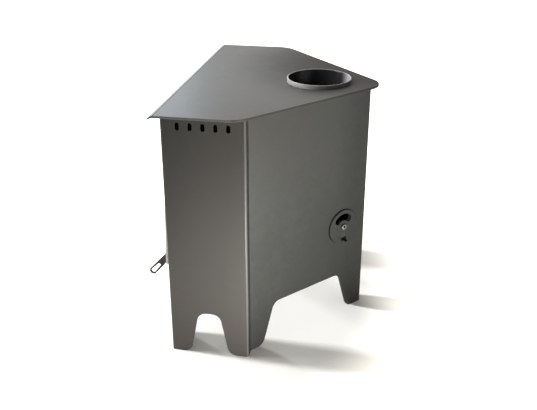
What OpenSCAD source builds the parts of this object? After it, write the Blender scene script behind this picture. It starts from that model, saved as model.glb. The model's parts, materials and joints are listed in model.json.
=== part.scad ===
// Freestanding corner wood-burning stove with a five-sided top plate.
// The door faces -Y, the pointed back faces +Y, and the floor is z = 0.
// Plan sizes are taken from the front edge of the top plate, then the whole
// stove is shifted so that its origin is the middle of its footprint.

/* [Top plate] */
// Width of the top plate, which is the width of the stove
plate_w = 500; // [440:5:560]
// Length of the top plate's two straight sides
plate_side = 138; // [120:1:170]
// Depth of the pointed back of the top plate
plate_rear = 215; // [190:1:240]
// Height of the top plate's upper face above the floor
stove_h = 450; // [440:5:520]
// Thickness of the top plate
plate_t = 4; // [3:0.5:6]
// Corner radius at the back of the top plate
corner_r = 40; // [20:1:50]
// How far the folded front lip reaches
lip_reach = 8; // [5:0.5:12]
// Downward angle of the front lip
lip_ang = 26; // [15:1:40]

/* [Flue socket] */
// Inner radius of the flue socket
flue_r = 55.25; // [50.25:0.25:60.25]
// Wall of the flue socket
collar_t = 3; // [2:0.5:4]
// How far the socket stands above the top plate
collar_proud = 7; // [3:0.5:15]
// Overall length of the flue socket
collar_len = 43; // [25:1:46]
// Gap between the flue socket and the back panels
flue_gap = 8.7; // [0.2:0.1:12]

/* [Casing] */
// Overhang of the top plate past the sides and back of the casing
overhang = 20; // [10:1:30]
// Setback of the casing's front from the front edge of the top plate
front_inset = 5; // [2:0.5:15]
// Depth of the side shields, which is the air gap plus the shield
shield_depth = 20; // [15:1:30]
// Sheet thickness of the side shields
shield_t = 2; // [1.5:0.5:3]
// Outer bend radius of the side shields
bend_r = 4; // [3.5:0.5:6]
// Plate thickness of the firebox walls
wall_t = 4; // [3:0.5:6]

/* [Legs] */
// Height of the arches that leave the legs
leg_h = 82; // [60:1:86]
// Side shield: width of a leg at the floor
side_leg = 35.5; // [30:0.5:40]
// Side shield: how far the arch's sides lean in towards the top
side_arch_lean = 16; // [8:1:20]
// Back panel: width of the leg at the back corner, at the floor
corner_leg = 36; // [28:1:45]
// Back panel: width of the leg beside the side shield, at the floor
back_leg = 29; // [24:1:40]
// Front panel: width of a leg at the floor
front_leg = 46; // [40:1:60]
// Front and back panels: how far the arch's sides lean in towards the top
wide_arch_lean = 26; // [15:1:32]
// Radius at the top corners of an arch
arch_top_r = 17; // [8:1:18]
// Radius of the feet beside an arch
foot_r = 18; // [8:1:22]

/* [Side vents] */
// Number of slots at the top of each side shield
vent_count = 5; // [3:1:6]
// Distance from slot to slot
vent_pitch = 21; // [16:0.5:22]
// Slot width
vent_w = 7; // [4:0.5:8]
// Slot height, end to end
vent_h = 13; // [9:0.5:18]
// Distance of the slot centres below the casing's top
vent_drop = 18; // [12:1:30]

/* [Air damper] */
// Distance of the damper from the back corner, along the panel
damper_u = 57; // [52:1:70]
// Height of the damper above the firebox floor
damper_rise = 38; // [36:1:60]
// Radius of the damper disc
disc_r = 33.5; // [33:0.5:38]
// Thickness of the damper disc
disc_t = 2.5; // [2:0.25:3.5]
// Radius of the curved slot's centre line
kidney_r = 19.5; // [17:0.5:22]
// Width of the curved slot
kidney_w = 13.5; // [7:0.5:14]
// Half of the curved slot's angle, between its end centres
kidney_half = 44.5; // [35:0.5:55]
// How far the disc is turned from the panel's own slot
damper_offset = 11; // [0:1:30]
// Gap from the curved slot to the walls of the air duct
duct_gap = 3.5; // [2:0.5:8]
// Radius of the damper's pivot screw
pivot_r = 3; // [2.5:0.5:4]
// Width of the bent finger tab
tab_w = 6; // [5:0.5:8]
// How far the finger tab stands out
tab_out = 9; // [6:0.5:12]
// Turn of the finger tab from straight down, towards the back corner
tab_turn = 6; // [0:1:20]

/* [Firebox] */
// Thickness of the plate that closes the ash space below
bottom_t = 3; // [2:0.5:5]
// Height of the ash space under the firebox floor
ash_space = 47; // [46:1:55]
// Thickness of the firebox floor plate
floor_t = 4; // [3:0.5:6]
// Thickness of the fire bricks
brick_t = 25; // [18:1:28]
// Gap from the baffle plate up to the flue socket
smoke_gap = 24; // [15:1:40]
// Joint between neighbouring bricks
brick_gap = 0.5; // [0.3:0.1:1]
// Setback of the bricks from the casing's front
brick_front = 25; // [22:1:30]
// Thickness of the baffle plate over the fire
baffle_t = 5; // [3:0.5:8]
// Distance of the baffle's front edge from the casing's front
baffle_front = 80; // [60:1:100]
// Width of the floor bricks beside the grate
floor_brick_w = 86; // [80:1:100]
// Depth of the cast grate
grate_d = 118; // [100:2:130]
// Number of bars' slots in the grate
grate_slots = 10; // [8:1:11]
// Width of the grate's slots
grate_slot_w = 9; // [6:0.5:10]
// Height of the log guard behind the door
guard_h = 30; // [24:1:40]

/* [Door] */
// Distance of the door's sides from the edges of the front panel
door_side = 20; // [18:1:30]
// Distance of the door's upper edge from the top plate
door_drop = 36; // [30:1:50]
// Height of the door's lower edge above the firebox floor
door_sill = 4; // [2:1:8]
// Sheet thickness of the door
door_t = 3; // [2:0.5:3.5]
// Depth of the door's rim, from its front face to the casing
door_depth = 12; // [12:0.5:13]
// Corner radius of the door
door_r = 6; // [4:0.5:10]
// Width of the rope seal's channel
seal_w = 13; // [10:0.5:14]
// Sheet thickness of the inner strip that holds the rope
seal_strip_t = 2; // [1.5:0.5:2.5]
// Width of the door's frame beside the window
frame_side = 60; // [58:1:80]
// Width of the door's frame below the window
frame_low = 55; // [45:1:70]
// Width of the door's frame above the window
frame_high = 40; // [36:1:60]
// Thickness of the glass
glass_t = 4; // [3:0.5:4]
// How far the glass reaches past the window opening
glass_lap = 10; // [8:0.5:10]
// Thickness of the tape under the glass
tape_t = 1.5; // [1:0.25:1.5]
// Radius of the hinge pins
hinge_pin_r = 3.5; // [2.5:0.5:4]
// Radius of the hinge eyes
hinge_eye_r = 5.5; // [5:0.25:6]
// Height of one hinge eye
hinge_eye_h = 6; // [5:0.5:10]
// Distance of the hinge pins from the door's side
hinge_off = 12; // [11:0.5:15]
// Distance of the hinges from the door's lower and upper edges
hinge_inset = 40; // [25:1:60]

/* [Door latch] */
// Distance of the latch spindle from the door's side
latch_inset = 35; // [33:0.5:37]
// Height of the latch spindle above the door's lower edge
latch_rise = 115; // [100:1:125]
// Radius of the latch spindle
spindle_r = 5; // [4:0.5:6]
// Width of the flat handle arm
arm_w = 16; // [13:1:18]
// Thickness of the flat handle arm
arm_t = 3.5; // [3:0.25:5]
// Length of the arm below the spindle
arm_len = 128; // [110:1:135]
// Outward lean of the arm
arm_lean = 1.7; // [0.5:0.1:4]
// Gap from the door's face to the arm at the spindle
arm_gap = 6.5; // [6:0.5:10]
// Length of the slotted grip, from the arm to its end centre
grip_len = 41.5; // [34:0.5:50]
// Width of the slotted grip at its outer end
grip_w = 14; // [13:0.5:16]
// How much narrower the grip is behind the arm
grip_taper = 1.5; // [0:0.5:3]
// Thickness of the slotted grip
grip_t = 4; // [3:0.5:6]
// Slope of the grip below level
grip_ang = 48; // [35:1:60]
// Length of the grip's slot between its end centres
grip_slot_len = 18; // [12:0.5:22]
// Width of the grip's slot at its outer end
grip_slot_w = 8; // [7:0.25:9]
// How much narrower the slot is at its inner end
grip_slot_taper = 2.75; // [0:0.25:3]
// Length of the latch tongue from the spindle
tongue_len = 30; // [27:1:34]

/* [Ash drawer] */
// How far the drawer's front reaches past the ash pan on each side
drawer_lap = 12; // [10:1:20]
// How far the ash pan reaches past the grate on each side
pan_lap = 5; // [2:1:10]
// How far the ash pan reaches past the grate at the back
pan_behind = 42; // [10:1:45]
// Gap from the ash pan up to the firebox floor
pan_head = 6.7; // [5:0.1:15]
// Sheet thickness of the ash pan
pan_t = 1.5; // [1:0.25:2]
// Radius of the drawer's knob
knob_r = 11; // [8:0.5:14]
// How far the knob stands out
knob_out = 22; // [16:1:28]

/* [Hidden] */
$fn = 64;
arc_steps = 10;
slip = 0.3;
running = 0.05;
through = 1;

half_w = plate_w / 2;
arch_head = 10;
rear_ang = atan(plate_rear / half_w);
corner_turn = 90 - rear_ang;
body_top = stove_h - plate_t;
casing_x = half_w - overhang;
body_x = casing_x - shield_depth;
inner_x = body_x - wall_t;
front_y = front_inset;
panel_len = body_x / cos(rear_ang);

// The flue socket stands close to the back panels
flue_y = rear_y(0, overhang + wall_t) - (flue_r + collar_t + flue_gap) / cos(rear_ang);

// Height levels of the ash space and the firebox
bottom_z = leg_h + arch_head;
ash_z = bottom_z + bottom_t;
floor_z = ash_z + ash_space;
fire_z = floor_z + floor_t;
brick_top = stove_h + collar_proud - collar_len - smoke_gap - baffle_t;
brick_h = brick_top - fire_z;

// Damper, and the air duct behind it
damper_z = fire_z + damper_rise;
duct_t = 2;
duct_half = kidney_r + kidney_w / 2 + duct_gap + duct_t;
duct_depth = brick_t - 1;
duct_top = damper_z + disc_r + duct_gap + duct_t;

// The grate starts level with the bricks
grate_w = 2 * (inner_x - brick_t - floor_brick_w);
grate_y = front_y + brick_front;
grate_end = grate_y + grate_d;
grate_ledge = 10;

// Door
door_w = 2 * (body_x - door_side);
door_z = fire_z + door_sill;
door_h = body_top - door_drop - door_z;
door_face = front_y - door_depth;
door_back = front_y - slip;
seal_land = 4;
open_inset = door_t + seal_w + seal_strip_t + seal_land;
open_x = door_w / 2 - open_inset;
open_z = door_z + open_inset;
open_h = door_h - 2 * open_inset;
hinge_x = -(door_w / 2 + hinge_off);
hinge_y = door_face + hinge_eye_r;
window_w = door_w - 2 * frame_side;
window_h = door_h - frame_low - frame_high;
window_z = door_z + frame_low;
glass_y = door_face + door_t + tape_t;
clip_w = 16;
clip_t = 2;
clip_foot = 17;
clip_grip = 8;
clip_inset = 15;
clip_levels = [window_z + clip_inset, window_z + window_h - clip_inset];
clip_screw_x = window_w / 2 + glass_lap + clip_foot / 2 + 1.5;
clip_screw_r = 2.5;
clip_head_r = 4.2;
clip_head_t = 2;
screw_tip = door_face + 1.2;

// Latch
latch_x = door_w / 2 - latch_inset;
latch_z = door_z + latch_rise;
arm_back = door_face - arm_gap;
arm_front = arm_back - arm_t;
bush_wall = 4;
bush_r = spindle_r + bush_wall;
tongue_t = 4;
tongue_w = 12;
tongue_y = front_y + wall_t + 2 * slip;
grip_top = arm_len - 7;
nut_t = 5;

// Ash drawer
rail_t = 3;
rail_w = 10;
rail_guide = 2;
rail_h = 15;
rail_over = 9;
pan_w = grate_w + 2 * pan_lap;
pan_d = grate_end + pan_behind - front_y;
pan_z = ash_z + rail_t + slip;
pan_h = ash_space - rail_t - slip - pan_head;
pan_side = 1.5;
knob_z = pan_z + pan_h / 2;
screw_hole_r = pan_t + 1;
drawer_front_w = pan_w + 2 * drawer_lap;
drawer_gap = 3;
drawer_z = bottom_z - 2;
drawer_top = door_z - 5;
drawer_sheet = 3;
drawer_tape = 2.5;
drawer_tape_w = 4;
drawer_face = front_y - slip - drawer_tape - drawer_sheet;

// Middle of the stove's depth, from the back tip to the grip's end
back_tip = plate_side + plate_rear - corner_r * (1 / cos(rear_ang) - 1);
grip_end = grip_root() - grip_len * [cos(grip_ang), sin(grip_ang)];
mid_y = (back_tip + grip_end.x - grip_w / 2) / 2;

paint = "#6e6e6b";
paint_dark = "#4c4d4a";
bare_steel = "#b9bab6";
cast_iron = "#3a3a3a";
fire_clay = "#c9b48a";
rope_grey = "#8b8b86";
glass_tint = "#3c342c";

// Unit vector
function unit(v) = v / norm(v);

// Angle brought into -180 to 180
function short_turn(a) = a > 180 ? a - 360 : a < -180 ? a + 360 : a;

// Points that round corner b, between a and c, with radius r
function corner_arc(a, b, c, r) =
    r <= 0 ? [b] :
    let (u = unit(a - b),
         v = unit(c - b),
         half = acos(u * v) / 2,
         centre = b + unit(u + v) * r / sin(half),
         p = b + u * r / tan(half) - centre,
         q = b + v * r / tan(half) - centre,
         start = atan2(p.y, p.x),
         turn = short_turn(atan2(q.y, q.x) - start))
    [for (i = [0:arc_steps]) centre + r * [cos(start + turn * i / arc_steps),
                                           sin(start + turn * i / arc_steps)]];

// Closed outline whose corners [x, y, r] are rounded by their own radius
function rounded(path) =
    let (n = len(path), xy = [for (p = path) [p.x, p.y]])
    [for (i = [0:n - 1])
        each corner_arc(xy[(i + n - 1) % n], xy[i], xy[(i + 1) % n], path[i][2])];

// Rectangle from a to b with one corner radius
function rounded_box(a, b, r) =
    rounded([[a.x, a.y, r], [b.x, a.y, r], [b.x, b.y, r], [a.x, b.y, r]]);

// Arch that leaves a leg on each side, with rounded feet
function arch(base, top, h) =
    let (foot = corner_arc([-base - h, 0], [-base, 0], [-top, h], foot_r),
         crown = corner_arc([-base, 0], [-top, h], [top, h], arch_top_r),
         left = concat([[foot[0].x, -through]], foot, crown),
         n = len(left))
    concat(left, [for (i = [n - 1:-1:0]) [-left[i].x, left[i].y]]);

// Curved slot round the origin, centred on the angle mid
function kidney(mid) =
    let (a0 = mid - kidney_half,
         a1 = mid + kidney_half,
         cap0 = kidney_r * [cos(a0), sin(a0)],
         cap1 = kidney_r * [cos(a1), sin(a1)],
         w = kidney_w / 2)
    concat([for (i = [0:24]) let (a = a0 + (a1 - a0) * i / 24) (kidney_r + w) * [cos(a), sin(a)]],
           [for (i = [1:7]) let (a = a1 + 180 * i / 8) cap1 + w * [cos(a), sin(a)]],
           [for (i = [24:-1:0]) let (a = a0 + (a1 - a0) * i / 24) (kidney_r - w) * [cos(a), sin(a)]],
           [for (i = [1:7]) let (a = a0 + 180 + 180 * i / 8) cap0 + w * [cos(a), sin(a)]]);

// y of a line parallel to the plate's back edge, inset from it, at x from the middle
function rear_y(x, inset) =
    plate_side + (half_w - x) * tan(rear_ang) - inset / cos(rear_ang);

// Plan of the space inside the walls, shrunk by gap, from y upwards
function inside_plan(gap, y) =
    let (x = inner_x - gap, inset = overhang + wall_t + gap)
    [[-x, y], [x, y], [x, rear_y(x, inset)], [0, rear_y(0, inset)], [-x, rear_y(x, inset)]];

// Outline round two circles on the x axis, the smaller one first
function teardrop(x0, r0, x1, r1) =
    let (a = acos((r0 - r1) / (x1 - x0)), n = arc_steps)
    concat([for (i = [-n:n]) [x1, 0] + r1 * [cos(a * i / n), sin(a * i / n)]],
           [for (i = [-n:n]) let (b = 180 + (180 - a) * i / n) [x0, 0] + r0 * [cos(b), sin(b)]]);

// Where the grip's centre line meets the arm, as [y, z]
function grip_root() =
    [arm_front - grip_top * sin(arm_lean), latch_z - grip_top * cos(arm_lean) + grip_w * 0.3];

// Everything is drawn from the plate's front edge and shifted here
module placed() translate([0, -mid_y, 0]) children();

// Local frame of a back panel: x along it from the back corner, y outwards
module on_rear() {
    translate([0, rear_y(0, overhang), 0])
        rotate([0, 0, -rear_ang])
            children();
}

// Sheet drawn in x and z, from its front face at y to y + t
module upright(y, t) {
    translate([0, y + t, 0])
        rotate([90, 0, 0])
            linear_extrude(t)
                children();
}

// Sheet drawn in y and z, from x to x + t
module sideways(x, t) {
    translate([x, 0, 0])
        rotate([90, 0, 90])
            linear_extrude(t)
                children();
}

// Rod along +Y
module rod_y(x, y, z, r, len) {
    translate([x, y, z])
        rotate([-90, 0, 0])
            cylinder(r = r, h = len);
}

// Slot with round ends, upright, centred on the origin
module slot(w, h) {
    square([w, h - w], center = true);
    for (s = [-1, 1])
        translate([0, s * (h - w) / 2])
            circle(d = w);
}

// Ring between two rectangles with the same centre
module frame_ring(a, b, r, w) {
    difference() {
        polygon(rounded_box(a, b, r));
        polygon(rounded_box(a + [w, w], b - [w, w], max(r - w, 0.5)));
    }
}

module top_outline() {
    polygon(rounded([
        [-half_w, 0, 0], [half_w, 0, 0], [half_w, plate_side, corner_r],
        [0, plate_side + plate_rear, corner_r], [-half_w, plate_side, corner_r]
    ]));
}

// Section of the front lip, in y and z, joined to the plate at y = 0
module lip_section() {
    dy = lip_reach * cos(lip_ang);
    dz = lip_reach * sin(lip_ang);
    ey = plate_t * sin(lip_ang);
    ez = plate_t * cos(lip_ang);
    polygon([
        [0, stove_h], [-dy, stove_h - dz], [-dy - ey, stove_h - dz - ez],
        [-plate_t * tan(lip_ang / 2), body_top], [0, body_top]
    ]);
}

module top_plate() color(paint) placed() {
    difference() {
        translate([0, 0, body_top])
            linear_extrude(plate_t)
                top_outline();
        translate([0, flue_y, body_top - through])
            cylinder(r = flue_r + collar_t, h = plate_t + 2 * through);
    }
    sideways(-half_w, plate_w) lip_section();
}

module flue_collar() color(paint_dark) placed() {
    mid_r = flue_r + collar_t / 2;
    rim_z = stove_h + collar_proud - collar_t / 2;
    translate([0, flue_y, 0])
        rotate_extrude() {
            translate([flue_r, stove_h + collar_proud - collar_len])
                square([collar_t, collar_len - collar_t / 2]);
            translate([mid_r, rim_z])
                circle(d = collar_t);
        }
}

module front_panel() color(paint) placed() {
    upright(front_y, wall_t)
        difference() {
            translate([-body_x, 0]) square([2 * body_x, body_top]);
            polygon(arch(body_x - front_leg, body_x - front_leg - wide_arch_lean, leg_h));
            polygon(rounded_box([-open_x, open_z], [open_x, open_z + open_h], door_r));
            polygon(rounded_box(
                [-pan_w / 2 - drawer_gap, pan_z - slip - 1],
                [pan_w / 2 + drawer_gap, pan_z + pan_h + drawer_gap], 2));
        }
}

// Firebox side wall, mitred to the back panel
module side_wall() {
    y0 = front_y + wall_t;
    translate([0, 0, bottom_z - 2])
        linear_extrude(body_top - bottom_z + 2)
            polygon([
                [inner_x, y0], [body_x, y0], [body_x, rear_y(body_x, overhang)],
                [inner_x, rear_y(inner_x, overhang + wall_t)]
            ]);
}

module side_wall_right() color(paint_dark) placed() side_wall();
module side_wall_left() color(paint_dark) placed() mirror([1, 0, 0]) side_wall();

// Strip along a back panel between two depths, mitred at both ends
module rear_strip(near, far, gap) {
    turn = tan(corner_turn / 2);
    polygon([
        [near * tan(rear_ang) + gap, -near], [panel_len - near * turn - gap, -near],
        [panel_len - far * turn - gap, -far], [far * tan(rear_ang) + gap, -far]
    ]);
}

module rear_panel() {
    half = (panel_len - corner_leg - back_leg) / 2;
    on_rear()
        difference() {
            linear_extrude(body_top) rear_strip(0, wall_t, 0);
            translate([corner_leg + half, 0, 0])
                upright(-wall_t - through, wall_t + 2 * through)
                    polygon(arch(half, half - wide_arch_lean, leg_h));
            children();
        }
}

module rear_panel_right() color(paint) placed() {
    rear_panel()
        translate([damper_u, 0, damper_z]) {
            upright(-wall_t - through, wall_t + 2 * through)
                polygon(kidney(90 - damper_offset));
            rod_y(0, -wall_t - through, 0, pivot_r + running, wall_t + 2 * through);
        }
}

module rear_panel_left() color(paint) placed() mirror([1, 0, 0]) rear_panel();

// Side shield: a bent tray with vents at the top and an arch between its feet
module side_shield() {
    y1 = rear_y(body_x, overhang);
    middle = (front_y + y1) / 2;
    half = (y1 - front_y) / 2 - side_leg;
    inner_r = bend_r - shield_t;
    difference() {
        linear_extrude(body_top)
            polygon(rounded([
                [body_x, front_y, 0], [casing_x, front_y, bend_r], [casing_x, y1, bend_r],
                [body_x, y1, 0], [body_x, y1 - shield_t, 0],
                [casing_x - shield_t, y1 - shield_t, inner_r],
                [casing_x - shield_t, front_y + shield_t, inner_r],
                [body_x, front_y + shield_t, 0]
            ]));
        translate([0, middle, 0])
            sideways(casing_x - shield_t - through, shield_t + 2 * through) {
                polygon(arch(half, half - side_arch_lean, leg_h));
                for (i = [0:vent_count - 1])
                    translate([(i - (vent_count - 1) / 2) * vent_pitch, body_top - vent_drop])
                        slot(vent_w, vent_h);
            }
    }
}

module side_shield_right() color(paint) placed() side_shield();
module side_shield_left() color(paint) placed() mirror([1, 0, 0]) side_shield();

module bottom_plate() color(paint_dark) placed() {
    translate([0, 0, bottom_z])
        linear_extrude(bottom_t)
            polygon(inside_plan(0, front_y + wall_t));
}

// Plan of the passage under the air duct
module duct_passage() {
    translate([damper_u - duct_half + duct_t, -wall_t - duct_depth + duct_t])
        square([2 * (duct_half - duct_t), duct_depth - duct_t]);
}

module floor_plate() color(paint_dark) placed() {
    difference() {
        translate([0, 0, floor_z])
            linear_extrude(floor_t)
                polygon(inside_plan(0, front_y + wall_t));
        translate([0, grate_y, floor_z - through])
            linear_extrude(floor_t + 2 * through)
                translate([-grate_w / 2 + grate_ledge, grate_ledge])
                    square([grate_w - 2 * grate_ledge, grate_d - 2 * grate_ledge]);
        on_rear()
            translate([0, 0, floor_z - through])
                linear_extrude(floor_t + 2 * through)
                    duct_passage();
    }
}

module grate() color(cast_iron) placed() {
    rim = grate_ledge - 2;
    bar_t = brick_t / 2;
    pitch = (grate_w - 2 * rim - grate_slot_w) / (grate_slots - 1);
    translate([0, grate_y, fire_z])
        difference() {
            linear_extrude(brick_t)
                polygon(rounded_box([-grate_w / 2, 0], [grate_w / 2, grate_d], 3));
            translate([0, 0, -through])
                linear_extrude(brick_t - bar_t + through)
                    polygon(rounded_box(
                        [-grate_w / 2 + rim, rim], [grate_w / 2 - rim, grate_d - rim], 2));
            translate([0, grate_d / 2, 0])
                linear_extrude(brick_t + through)
                    for (i = [0:grate_slots - 1])
                        translate([(i - (grate_slots - 1) / 2) * pitch, 0])
                            slot(grate_slot_w, grate_d - 3 * rim);
        }
}

// Plan of the floor bricks, before they are cut apart
module floor_brick_plan() {
    difference() {
        polygon(inside_plan(brick_t + brick_gap, front_y + brick_front));
        translate([-grate_w / 2 - brick_gap, 0])
            square([grate_w + 2 * brick_gap, grate_end + brick_gap]);
    }
}

// One floor brick: the part of the plan between two corners
module floor_brick(a, b) {
    translate([0, 0, fire_z])
        linear_extrude(brick_t)
            difference() {
                intersection() {
                    floor_brick_plan();
                    translate(a) square(b - a);
                }
                on_rear()
                    duct_keepout();
            }
}

// Plan of the air duct and the joint round it
module duct_keepout() {
    translate([damper_u - duct_half - brick_gap, -wall_t - duct_depth - brick_gap])
        square([2 * (duct_half + brick_gap), duct_depth + brick_gap + wall_t]);
}

module floor_brick_right() color(fire_clay) placed()
    floor_brick([0, 0], [half_w, grate_end + brick_gap]);
module floor_brick_left() color(fire_clay) placed()
    floor_brick([-half_w, 0], [0, grate_end + brick_gap]);
module floor_brick_rear() color(fire_clay) placed()
    floor_brick([-half_w, grate_end + 2 * brick_gap], [half_w, plate_side + plate_rear]);

module side_brick() {
    x0 = inner_x - brick_t;
    y0 = front_y + brick_front;
    translate([0, 0, fire_z])
        linear_extrude(brick_h)
            polygon([
                [x0, y0], [inner_x, y0],
                [inner_x, rear_y(inner_x, overhang + wall_t) - brick_gap],
                [x0, rear_y(x0, overhang + wall_t + brick_t) - brick_gap]
            ]);
}

module side_brick_right() color(fire_clay) placed() side_brick();
module side_brick_left() color(fire_clay) placed() mirror([1, 0, 0]) side_brick();

module rear_brick() {
    on_rear()
        translate([0, 0, fire_z])
            linear_extrude(brick_h)
                rear_strip(wall_t, wall_t + brick_t, brick_gap);
}

module rear_brick_right() color(fire_clay) placed() {
    difference() {
        rear_brick();
        on_rear()
            translate([0, -wall_t - brick_t - through, fire_z - through])
                cube([damper_u + duct_half + brick_gap, brick_t + 2 * through,
                      duct_top - fire_z + through + brick_gap]);
    }
}

module rear_brick_left() color(fire_clay) placed() mirror([1, 0, 0]) rear_brick();

module baffle_plate() color(cast_iron) placed() {
    translate([0, 0, brick_top])
        linear_extrude(baffle_t)
            polygon(inside_plan(2, front_y + baffle_front));
}

module log_guard() color(cast_iron) placed() {
    t = 3;
    rim = 5;
    half = inner_x - brick_t - 2 * rim;
    top = fire_z + brick_t + guard_h;
    upright(grate_y - t, t)
        difference() {
            polygon(rounded([[-half, fire_z, 0], [half, fire_z, 0],
                             [half, top, 8], [-half, top, 8]]));
            for (i = [-4:4])
                translate([i * half / 5, top - guard_h / 2])
                    slot(8, guard_h - 2 * rim);
        }
}

// Angle strips that keep the side bricks from sliding forward
module brick_stops() color(paint_dark) placed() {
    t = 2.5;
    w = brick_t / 2;
    for (s = [0, 1])
        mirror([s, 0, 0])
            translate([inner_x - w, grate_y - t, fire_z])
                cube([w, t, brick_h]);
}

module air_duct() color(paint_dark) placed() {
    on_rear()
        translate([damper_u, -wall_t, 0]) {
            translate([0, 0, fire_z])
                linear_extrude(duct_top - fire_z)
                    difference() {
                        translate([-duct_half, -duct_depth])
                            square([2 * duct_half, duct_depth]);
                        translate([-duct_half + duct_t, -duct_depth + duct_t])
                            square([2 * (duct_half - duct_t), duct_depth]);
                    }
            translate([-duct_half, -duct_depth, duct_top - duct_t])
                cube([2 * duct_half, duct_depth, duct_t]);
        }
}

module drawer_rails() color(paint_dark) placed() {
    x1 = pan_w / 2 + pan_side;
    x0 = x1 - rail_w;
    end = front_y + pan_d + rail_over;
    for (s = [0, 1])
        mirror([s, 0, 0])
            translate([0, end, ash_z])
                rotate([90, 0, 0])
                    linear_extrude(end - front_y - wall_t)
                        polygon([
                            [x0, 0], [x1 + rail_guide, 0], [x1 + rail_guide, rail_h],
                            [x1, rail_h], [x1, rail_t], [x0, rail_t]
                        ]);
}

// Heights of the hinges: the join between the two eyes
hinge_levels = [door_z + hinge_inset, door_z + door_h - hinge_inset];

module hinge_eyes_body() color(paint) placed() {
    for (z = hinge_levels)
        translate([hinge_x, hinge_y, z - hinge_eye_h])
            linear_extrude(hinge_eye_h)
                difference() {
                    union() {
                        circle(r = hinge_eye_r);
                        translate([-hinge_eye_r, 0])
                            square([2 * hinge_eye_r, front_y - hinge_y]);
                    }
                    circle(r = hinge_pin_r + running);
                }
}

module hinge_eyes_door() color(paint) placed() {
    for (z = hinge_levels)
        translate([hinge_x, hinge_y, z + slip])
            linear_extrude(hinge_eye_h)
                difference() {
                    union() {
                        circle(r = hinge_eye_r);
                        translate([0, -hinge_eye_r])
                            square([hinge_off, 2 * hinge_eye_r - 1]);
                    }
                    circle(r = hinge_pin_r + running);
                }
}

module hinge_pins() color(bare_steel) placed() {
    head_h = 2.5;
    for (z = hinge_levels)
        translate([hinge_x, hinge_y, z - hinge_eye_h - head_h]) {
            cylinder(r = hinge_pin_r + 1.7, h = head_h);
            cylinder(r = hinge_pin_r, h = 2 * hinge_eye_h + head_h + 2);
            translate([0, 0, 2 * hinge_eye_h + head_h + 2])
                cylinder(r1 = hinge_pin_r, r2 = hinge_pin_r - 1, h = 1);
        }
}

// Damper pieces, in the frame of the right back panel
module at_damper() placed() on_rear() translate([damper_u, 0, damper_z]) children();

disc_y = slip;
washer_y = disc_y + disc_t + slip;
washer_t = 1.2;
head_r = pivot_r * 1.6;
head_t = pivot_r;

module damper_disc() color(paint) at_damper() {
    hole = [2 * tab_w, tab_w + 2];
    hole_z = hole.y / 2 + 3.5 - disc_r;
    tab_t = 2;
    difference() {
        rod_y(0, disc_y, 0, disc_r, disc_t);
        rod_y(0, disc_y - through, 0, pivot_r + running, disc_t + 2 * through);
        upright(disc_y - through, disc_t + 2 * through) {
            polygon(kidney(90));
            rotate(-tab_turn)
                translate([0, hole_z])
                    square(hole, center = true);
        }
    }
    rotate([0, tab_turn, 0])
        translate([-tab_w / 2, disc_y, hole_z - hole.y / 2])
            cube([tab_w, disc_t + tab_out, tab_t]);
}

module damper_pivot() color(bare_steel) at_damper() {
    head_y = washer_y + washer_t;
    end_y = -wall_t - nut_t - pivot_r;
    rod_y(0, end_y, 0, pivot_r, head_y - end_y);
    translate([0, head_y, 0])
        rotate([-90, 0, 0])
            difference() {
                intersection() {
                    cylinder(r = head_r, h = head_t);
                    translate([0, 0, head_t - 2 * head_r])
                        sphere(r = 2 * head_r);
                }
                translate([0, 0, head_t * 0.25])
                    cylinder(r = pivot_r * 0.75, h = head_t, $fn = 6);
            }
}

module damper_washer() color(paint) at_damper() {
    difference() {
        rod_y(0, washer_y, 0, pivot_r * 2.1, washer_t);
        rod_y(0, washer_y - through, 0, pivot_r + running, washer_t + 2 * through);
    }
}

module damper_nut() color(bare_steel) at_damper() {
    translate([0, -wall_t - nut_t, 0])
        rotate([-90, 0, 0])
            difference() {
                cylinder(r = pivot_r * 1.9, h = nut_t, $fn = 6);
                translate([0, 0, -through])
                    cylinder(r = pivot_r + running, h = nut_t + 2 * through);
            }
}

module door_frame() color(paint) placed() {
    a = [-door_w / 2, door_z];
    b = [door_w / 2, door_z + door_h];
    difference() {
        union() {
            upright(door_face, door_t)
                difference() {
                    polygon(rounded_box(a, b, door_r));
                    polygon(rounded_box([-window_w / 2, window_z],
                                        [window_w / 2, window_z + window_h], 10));
                }
            upright(door_face + door_t, door_back - door_face - door_t)
                frame_ring(a, b, door_r, door_t);
        }
        rod_y(latch_x, door_face - through, latch_z, bush_r, door_t + 2 * through);
        for (s = [-1, 1], z = clip_levels)
            rod_y(s * clip_screw_x, screw_tip - slip, z, clip_screw_r, door_t);
    }
}

module seal_strip() color(paint_dark) placed() {
    inset = door_t + seal_w;
    upright(door_face + door_t, door_back - door_face - door_t - 1.5)
        frame_ring([-door_w / 2 + inset, door_z + inset],
                   [door_w / 2 - inset, door_z + door_h - inset], 3, seal_strip_t);
}

module door_rope() color(rope_grey) placed() {
    inset = door_t + slip;
    upright(door_face + door_t + slip, door_back - door_face - door_t - slip)
        frame_ring([-door_w / 2 + inset, door_z + inset],
                   [door_w / 2 - inset, door_z + door_h - inset], 4, seal_w - 2 * slip);
}

// Edge of the glass, as two corners
glass_a = [-window_w / 2 - glass_lap, window_z - glass_lap];
glass_b = [window_w / 2 + glass_lap, window_z + window_h + glass_lap];

module glass_tape() color(rope_grey) placed() {
    upright(door_face + door_t, tape_t)
        frame_ring(glass_a, glass_b, 4, glass_lap - 1);
}

module door_glass() color(glass_tint, 0.6) placed() {
    upright(glass_y, glass_t)
        polygon(rounded_box(glass_a, glass_b, 4));
}

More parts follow.
